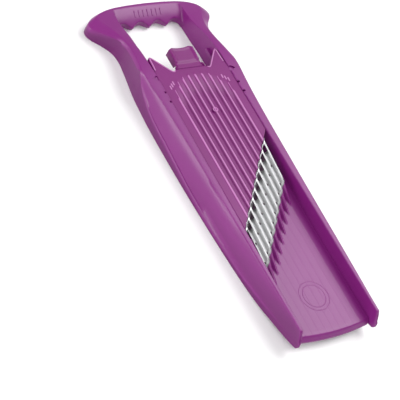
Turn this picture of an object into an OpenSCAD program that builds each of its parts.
// Wave-cut mandoline slicer, lying on its rails.
// X runs across the slicer, +Y points to the handle, +Z is up, and z = 0 is the worktop.

/* [Frame] */
// Overall length, from the foot lip to the back of the handle
length = 387.5; // [384:0.5:391]
// Height of the rails above the worktop
height = 28; // [27.5:0.5:30]
// Width of the food channel between the tops of the rails
channel_w = 83; // [82.5:0.5:84]
// Thickness of the moulded walls
wall = 2.6; // [2.2:0.1:2.8]
// Thickness of the run-out plate
deck = 2.6; // [2.4:0.1:3]
// How far the run-out plate lies below the tops of the rails
deck_drop = 13.5; // [12.5:0.5:14]

/* [Handle] */
// Height of the handle bar at its back edge
handle_h = 16; // [15:0.5:18]
// Distance between neighbouring finger hollows
finger_pitch = 20; // [19:0.5:20.5]
// Depth of the finger hollows
finger_depth = 4; // [3:0.5:5]

/* [Blade] */
// Distance between neighbouring waves, the same on the blade and the guide plate
wave_pitch = 7.8; // [7.6:0.1:7.9]
// Height of a wave from valley to ridge
wave_h = 3; // [2.4:0.1:3.2]
// Thickness of the blade's steel sheet
sheet = 0.8; // [0.6:0.1:1]
// Slope of the cutting edge: rise along Y for each unit along X
edge_slope = 1.2; // [1.12:0.01:1.22]
// Place on Y where the cutting edge crosses the centre line
edge_y = -29.3; // [-31:0.1:-28]
// Length of the blade along Y
blade_len = 44; // [42:0.5:46]
// Angle by which the blade falls towards its rear
blade_tilt = 9; // [8:0.5:10]

/* [Guide plate] */
// Thickness of the guide plate below its ribs
plate_t = 2.5; // [2:0.1:2.8]
// Length of travel along Y from setting 0 to setting 2
travel = 12; // [10:0.5:14]
// Fall of the guide plate from setting 0 to setting 2
fall = 3.5; // [3:0.25:4]
// Clearance between the guide plate and the frame
slip = 0.4; // [0.35:0.05:0.5]

/* [Hidden] */
$fn = 48;
eps = 0.01;
far = 400;                     // longer than anything in the model

half = channel_w / 2;
foot_y = -length / 2;
back_y = length / 2;
deck_z = height - deck_drop;   // top of the run-out plate
open_half = half - 1.5;        // half the width of the finger opening
open_y = 128;                  // front end of the handle's arms

// Blade: top of the ridges at the cutting edge, and the parallelogram it covers
edge_z = height - 0.6;
blade_left = -half + 2.7;
blade_right = 34.4;
seat_right = blade_right + 0.8; // the seat stops short of the right rail
first_wave = -5;               // first and last ridge, counted from the centre line
last_wave = 4;
ridge_flat = 2.2;
valley_flat = 2.0;
stake_rows = [20, 39.5];       // distance of each row of stakes behind the cutting edge
stake_r = 0.9;
seat_front = 11;               // the frame carries the blade from here back
flame_len = 21;                // length of the ribs that run out behind the blade
fall_rate = tan(blade_tilt) / sqrt(1 + edge_slope * edge_slope);
rib_rise = edge_z - sheet - 1.2 - blade_len * fall_rate - deck_z;

// Guide plate
plate_z = edge_z - wave_h;     // floor of the grooves between the ribs
plate_top = edge_z - 0.4;      // flat margins beside the ribs
plate_under = plate_z - plate_t;
plate_half = half - slip;
plate_gap = 0.8;               // from the guide plate to the cutting edge, along Y
ledge_w = 4;
ledge_z = plate_under - fall - 0.5;
notch_y = 102;                 // bottom of the notches beside the thumb latch
ear_x = 38;
ear_y = 119;
tab_y = 127;
tab_half = 13.6;
root_half = 16;
tab_rise = 2.4;                // the thumb latch stands above the plate
tab_depth = 8.5;
lug_y = [74, 24];              // the lugs run in inclined slots through the rails
lug_len = 6;
lug_out = 2.4;
detent_y = [66.5, 77.5, 94];

function edge_at(x) = edge_y + edge_slope * x;

// A point on a smooth curve through four neighbouring points of a list
function blend(a, b, c, d, t) =
    0.5 * ((2 * b) + (c - a) * t + (2 * a - 5 * b + 4 * c - d) * t * t
    + (3 * b - a - 3 * c + d) * t * t * t);
function smooth(p, steps) = [
    for (i = [0 : len(p) - 2], k = [0 : steps - 1])
        blend(p[max(i - 1, 0)], p[i], p[i + 1], p[min(i + 2, len(p) - 1)], k / steps),
    p[len(p) - 1]
];
function reversed(p) = [for (i = [len(p) - 1 : -1 : 0]) p[i]];
function mirrored(p) = concat(p, [for (q = reversed(p)) [-q[0], q[1]]]);

// Right half of the frame seen from above: the foot, the swelling skirt, the waist at
// the arms of the handle, and the flared corner of the bar
skirt = smooth([
    [44.3, foot_y], [46.5, -171], [51.4, -126], [54.6, -82], [56.9, -36], [58.4, 10], [58.6, 50],
    [57.4, 76], [55.8, 98], [53, 112], [51, 128], [52, 146], [58.6, back_y - 35],
    [67.5, back_y - 26], [70.5, back_y - 21], [68.2, back_y - 15], [58, back_y - 8],
    [40, back_y - 3], [20, back_y - 0.6], [0, back_y]
], 4);
// The same at the level of the tops of the rails
rim = smooth([
    [43.8, foot_y], [45, -146], [46.8, -102], [47.9, -40], [49, 10], [50.5, 52], [52.4, 82],
    [54.4, 100], [53, 112], [50, 128], [49.3, 146], [52.5, back_y - 35], [58, back_y - 26],
    [60.2, back_y - 18], [56, back_y - 10], [46, back_y - 6], [34, back_y - 2.4],
    [14, back_y - 0.7], [0, back_y - 0.4]
], 4);

// The frame seen from the side
drop_y = 98;                   // where the top begins to fall towards the handle
function top_z(y) = handle_h + (height - handle_h)
    * (0.5 + 0.5 * cos(180 * (y - drop_y) / (back_y - drop_y)));
side = concat(
    [[foot_y + 7.5, height], [drop_y, height]],
    [for (y = [drop_y + 5 : 5 : back_y]) [y, top_z(y)]],
    [[back_y, handle_h], [back_y, 3], [back_y - 4, 0], [-126, 0], [-160, 4], [foot_y + 1, 11]]
);
// Height of the swollen skirt: a long leaf along each rail, then the handle's flare
leaf = [
    [foot_y - 1, -1], [foot_y - 1, 16], [-160, 9], [-126, 6.5], [-90, 5], [-50, 4.5],
    [-22, 5], [10, 7], [35, 8], [60, 9.5], [74, 11], [86, 13],
    [94, 16], [100, 21], [104, height], [back_y - 55, height], [back_y - 40, 22],
    [back_y - 26, 13], [back_y - 8, 10], [back_y + 1, 10], [back_y + 1, -1]
];

// One wave, from the foot of its rise to the foot of its fall
function wave(x, z) = [
    [x - wave_pitch / 2 + valley_flat / 2, z], [x - ridge_flat / 2, z + wave_h],
    [x + ridge_flat / 2, z + wave_h], [x + wave_pitch / 2 - valley_flat / 2, z]
];
function waves(lo, hi, z) = [for (k = [lo : hi]) each wave(k * wave_pitch, z)];

module across(points) {        // extrudes an outline in Y and Z across the frame
    translate([-far / 2, 0, 0]) rotate([90, 0, 90]) linear_extrude(far) polygon(points);
}

module along(points) {         // extrudes an outline in X and Z along the frame
    translate([0, far / 2, 0]) rotate([90, 0, 0]) linear_extrude(far) polygon(points);
}

module both_sides() {
    children();
    mirror([1, 0, 0]) children();
}

// The strip from behind to ahead of the cutting edge, between x0 and x1
module strip(x0, x1, behind, ahead, z0, z1) {
    translate([0, 0, z0]) linear_extrude(z1 - z0) polygon([
        [x0, edge_at(x0) - behind], [x1, edge_at(x1) - behind],
        [x1, edge_at(x1) + ahead], [x0, edge_at(x0) + ahead]
    ]);
}

module outer_shape() {
    intersection() {
        linear_extrude(height) polygon(mirrored(rim));
        across(side);
    }
    intersection() {
        linear_extrude(height) polygon(mirrored(skirt));
        across(side);
        across(leaf);
    }
}

module rail_hollow() {         // inside of one rail, open at the bottom
    inner = half + wall;
    translate([0, 0, -1]) linear_extrude(height - wall + 1) polygon(concat(
        [[inner, -176]],
        smooth([
            [44.8, -160], [45.2, -102 - 20], [46.8 - wall + 1, -80], [48 - wall + 0.6, -40],
            [49 - wall, 10], [50.4 - wall, 52], [52 - wall, 82], [53 - wall, 100], [inner, 124]
        ], 4)
    ));
    intersection() {
        translate([0, 0, -1]) linear_extrude(height) polygon(concat(
            [[inner, -120]],
            smooth([
                [50 - wall, -120], [54.4 - wall, -82], [56.7 - wall, -36], [58.2 - wall, 10],
                [58.4 - wall, 50], [57.2 - wall, 76], [55 - wall, 96], [inner, 118]
            ], 4)
        ));
        translate([0, 0, -wall]) across(leaf);
    }
}

module finger_opening() {
    hollow_r = 12;
    bar_y = back_y - 24;       // front of the bar between the hollows
    translate([0, 0, -1]) linear_extrude(height + 2) {
        translate([-open_half, open_y - 20]) square([2 * open_half, bar_y - open_y + 20]);
        intersection() {
            for (x = [-1.5 : 1.5])
                translate([x * finger_pitch, bar_y + finger_depth - hollow_r]) circle(hollow_r);
            translate([-open_half, open_y]) square([2 * open_half, far]);
        }
    }
}

module bar_face() {            // sloping front of the bar, between the arms
    intersection() {
        across([
            [open_y + 20, height + 1], [back_y - 26, 5.5], [back_y - 6.5, handle_h - 1],
            [back_y - 6.5, height + 1]
        ]);
        translate([-open_half, open_y, 0]) cube([2 * open_half, far, height + 2]);
    }
}

module trough() {              // channel over the run-out plate
    intersection() {
        translate([-half, -far, deck_z]) cube([2 * half, 2 * far, far]);
        strip(-60, 60, far, -30, deck_z - 1, height + 6);
    }
}
module plate_space() {         // everything between the rails, ahead of the run-out plate
    difference() {
        translate([-half, foot_y - 1, -1]) cube([2 * half, open_y - foot_y + 1, height + 2]);
        intersection() {
            translate([0, 0, deck_z - deck]) strip(-60, 60, far, -blade_len, 0, height);
            translate([-half, foot_y - 2, 0]) cube([2 * half, far, height + 1]);
        }
    }
}

module place_blade() {         // lays the blade's own plane in the frame, tilted
    translate([0, edge_y, edge_z - wave_h]) rotate(a = blade_tilt, v = [1, edge_slope, 0])
        translate([0, 0, 0]) children();
}

module corrugated(top, under) {    // wavy sheet between two depths below the blade's top
    place_blade() along(concat(
        [[-60, -top]], waves(first_wave, last_wave, -top), [[60, -top], [60, -under]],
        reversed(waves(first_wave, last_wave, -under)), [[-60, -under]]
    ));
}

module above_seat() {          // everything above the underside of the blade
    place_blade() along(concat(
        [[-60, -sheet]], waves(first_wave, last_wave, -sheet), [[60, -sheet], [60, 30], [-60, 30]]
    ));
}

module blade_seat() {          // wavy bridge below the blade, on a wall in front, beside and behind
    intersection() {
        corrugated(sheet, sheet + deck);
        strip(-half - 1, seat_right, blade_len + 1, -seat_front, 0, height);
    }
    difference() {
        union() {
            strip(-half - 1, seat_right, seat_front + wall, -seat_front, deck_z - deck, height);
            strip(-half - 1, seat_right, blade_len + 1, 0.6 - blade_len, deck_z - deck, height);
            strip(seat_right - wall, seat_right, blade_len + 1, -seat_front, deck_z - deck, height);
        }
        above_seat();
    }
    // low ties from the seat to the right rail
    strip(seat_right - 1, half + 1, seat_front + wall, -seat_front, deck_z - deck, deck_z + 1);
    strip(seat_right - 1, half + 1, blade_len + 1, 0.6 - blade_len, deck_z - deck, deck_z);
}

module runout_ribs() {         // ribs that lead the waves down onto the run-out plate
    for (k = [first_wave : last_wave]) {
        x = k * wave_pitch;
        if (x > -half + 2 && x < seat_right)
            translate([x, edge_at(x) - blade_len, deck_z]) rotate([90, 0, 90])
                linear_extrude(2.4, center = true)
                    polygon([[1, -1], [1, rib_rise], [-3, rib_rise], [-flame_len, 0], [-flame_len, -1]]);
    }
}

module lug_slots(grow) {       // inclined slots that the guide plate's lugs run in
    for (y = lug_y) both_sides() translate([half - 1, 0, 0])
        rotate([90, 0, 90]) linear_extrude(wall + 2) polygon([
            [y - lug_len / 2 - grow, plate_under - grow],
            [y - lug_len / 2 + travel - grow, plate_under - fall - grow],
            [y + lug_len / 2 + travel + grow, plate_under - fall - grow],
            [y + lug_len / 2 + travel + grow, plate_z - fall + grow],
            [y + lug_len / 2 + grow, plate_z + grow],
            [y - lug_len / 2 - grow, plate_z + grow]
        ]);
}

module foot_lip() {            // rolled edge at the end of the run-out plate
    lip_r = 190;
    intersection() {
        translate([0, 0, deck_z - 7]) linear_extrude(7) intersection() {
            translate([0, foot_y + lip_r]) circle(lip_r, $fn = 180);
            translate([-half - 1, foot_y - 1]) square([2 * half + 2, 14]);
        }
        across([
            [foot_y + 14, deck_z], [foot_y + 4, deck_z], [foot_y, deck_z - 4.6],
            [foot_y + 3, deck_z - 4.6], [foot_y + 7, deck_z - deck], [foot_y + 14, deck_z - deck]
        ]);
    }
}

module frame() color([0.52, 0.16, 0.5]) difference() {
    union() {
        difference() {
            outer_shape();
            translate([-half, foot_y - 1, -1]) cube([2 * half, 14, height + 2]);
            plate_space();
            both_sides() rail_hollow();
            finger_opening();
            bar_face();
            translate([-open_half, open_y, -1]) cube([2 * open_half, far, 3.5]);
            trough();
        }
        foot_lip();
        blade_seat();
        runout_ribs();
        // ledges below the guide plate
        for (side = [-1, 1]) translate([0, 0, ledge_z - 3]) linear_extrude(3)
            polygon([for (p = [
                [half - ledge_w, edge_at(side * half) + 2], [half + 1, edge_at(side * half) + 2],
                [half + 1, open_y + 1], [half - ledge_w, open_y + 1]
            ]) [side * p[0], p[1]]]);
    }
    lug_slots(slip);
    for (y = detent_y) both_sides()
        translate([half - 1, y - 1, height - 1.6]) cube([3.4, 2, 3]);
    at_stakes() cylinder(h = 20, r = stake_r, center = true);
}

// Places its child at every stake, on the blade's surface in the valleys
module at_stakes() {
    for (row = stake_rows, k = [first_wave : last_wave - 1]) {
        x = (k + 0.5) * wave_pitch;
        translate([x, edge_at(x) - row, edge_z - wave_h - row * fall_rate]) children();
    }
}

module wave_blade() color([0.8, 0.8, 0.82]) difference() {
    intersection() {
        corrugated(0, sheet);
        strip(blade_left, blade_right, blade_len, 0, 0, far);
    }
    at_stakes() cylinder(h = 20, r = stake_r, center = true);
}

module blade_stakes() color([0.45, 0.12, 0.43]) at_stakes() {
    translate([0, 0, -sheet - 2]) cylinder(h = sheet + 2.5, r = stake_r);
    translate([0, 0, 0.35]) cylinder(h = 0.5, r = 1.05);
}

guide_outline = [
    [plate_half, edge_at(plate_half) + plate_gap], [plate_half, 97], [ear_x + 0.8, 104],
    [ear_x + 0.6, ear_y], [ear_x - 1.5, ear_y + 0.6], [22, notch_y], [17, notch_y],
    [-17, notch_y], [-22, notch_y], [-ear_x + 1.5, ear_y + 0.6], [-ear_x - 0.6, ear_y],
    [-ear_x - 0.8, 104], [-plate_half, 97], [-plate_half, edge_at(-plate_half) + plate_gap]
];
ribbed_area = [
    [-far, edge_at(-far) + plate_gap], [far, edge_at(far) + plate_gap], [36, 60],
    [32, 74], [26, 84], [18, 91], [0, 93.5], [-18, 91], [-26, 84], [-32, 74], [-36, 60]
];

module guide_plate() color([0.5, 0.2, 0.48]) {
    difference() {
        translate([0, 0, plate_under]) linear_extrude(plate_top - plate_under)
            polygon(guide_outline);
        // grooves between the ribs, at the pitch of the blade's waves
        intersection() {
            along(concat([[-4 * wave_pitch, far]], waves(-4, 4, plate_z), [[4 * wave_pitch, far]]));
            translate([0, 0, plate_z - 1]) linear_extrude(wave_h + 5) polygon(ribbed_area);
        }
        // gate mark
        translate([0, 51, plate_top - 0.8]) cylinder(h = 5, r = 2.4);
        // hollow ears
        both_sides() translate([0, 0, plate_under - 1]) linear_extrude(3.4)
            polygon([[25.5, 99], [37.5, 99], [37.5, 113]]);
    }
    // lugs that run in the frame's inclined slots
    for (y = lug_y) both_sides() translate([half - 2, y - lug_len / 2, plate_under])
        cube([2 + lug_out, lug_len, plate_t]);
}

module tab_outline(inset) {
    polygon([
        [-root_half + inset, notch_y + 0.3 + inset], [root_half - inset, notch_y + 0.3 + inset],
        [tab_half - inset, notch_y + 7], [tab_half - inset, tab_y - 2 - inset],
        [tab_half - 2 - inset, tab_y - inset], [-tab_half + 2 + inset, tab_y - inset],
        [-tab_half + inset, tab_y - 2 - inset], [-tab_half + inset, notch_y + 7]
    ]);
}

module thumb_latch() color([0.56, 0.2, 0.54]) {
    top = plate_top + tab_rise;
    intersection() {
        difference() {
            translate([0, 0, top - tab_depth]) linear_extrude(tab_depth) tab_outline(0);
            translate([0, 0, top - tab_depth - 1]) linear_extrude(tab_depth - 1.4) tab_outline(2.2);
        }
        // the tongue is thin where it leaves the guide plate, and rises in a step
        across([
            [notch_y, plate_top - plate_t], [notch_y + 6, plate_top - plate_t], [notch_y + 8, 0],
            [tab_y + 1, 0], [tab_y + 1, top], [notch_y + 8, top - 0.4], [notch_y + 4, plate_top],
            [notch_y, plate_top]
        ]);
    }
    translate([0, 0, plate_top - plate_t]) linear_extrude(plate_t) intersection() {
        tab_outline(0);
        translate([-root_half, notch_y]) square([2 * root_half, 8]);
    }
}

frame();
wave_blade();
blade_stakes();
guide_plate();
thumb_latch();
